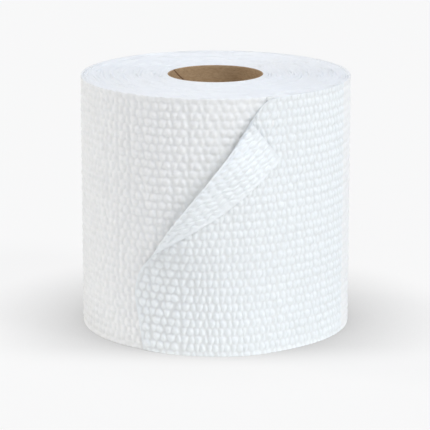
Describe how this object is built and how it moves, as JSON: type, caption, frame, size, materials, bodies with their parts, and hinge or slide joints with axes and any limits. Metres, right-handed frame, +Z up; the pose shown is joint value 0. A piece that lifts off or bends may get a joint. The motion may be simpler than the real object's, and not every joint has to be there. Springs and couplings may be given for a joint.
{
  "type": "toilet paper roll",
  "caption": "Toilet paper roll: embossed white tissue wound on a kraft cardboard core, with its loose end lying off the roll and one corner turned over.",
  "frame": {"origin": "on the axis of the core's bore, in the plane of the end that the roll stands on", "axes": "+Z up along the bore's axis, -Y towards the front, where the loose end of the paper lies, +X to the right seen from the front"},
  "size_m": [0.1143, 0.1173, 0.1067],
  "materials": {
    "tissue": "soft matt, embossed",
    "kraft_board": "matt, uncoated"
  },
  "bodies": {
    "root": {"paper": "tissue", "core": "kraft_board"}
  },
  "joints": []
}
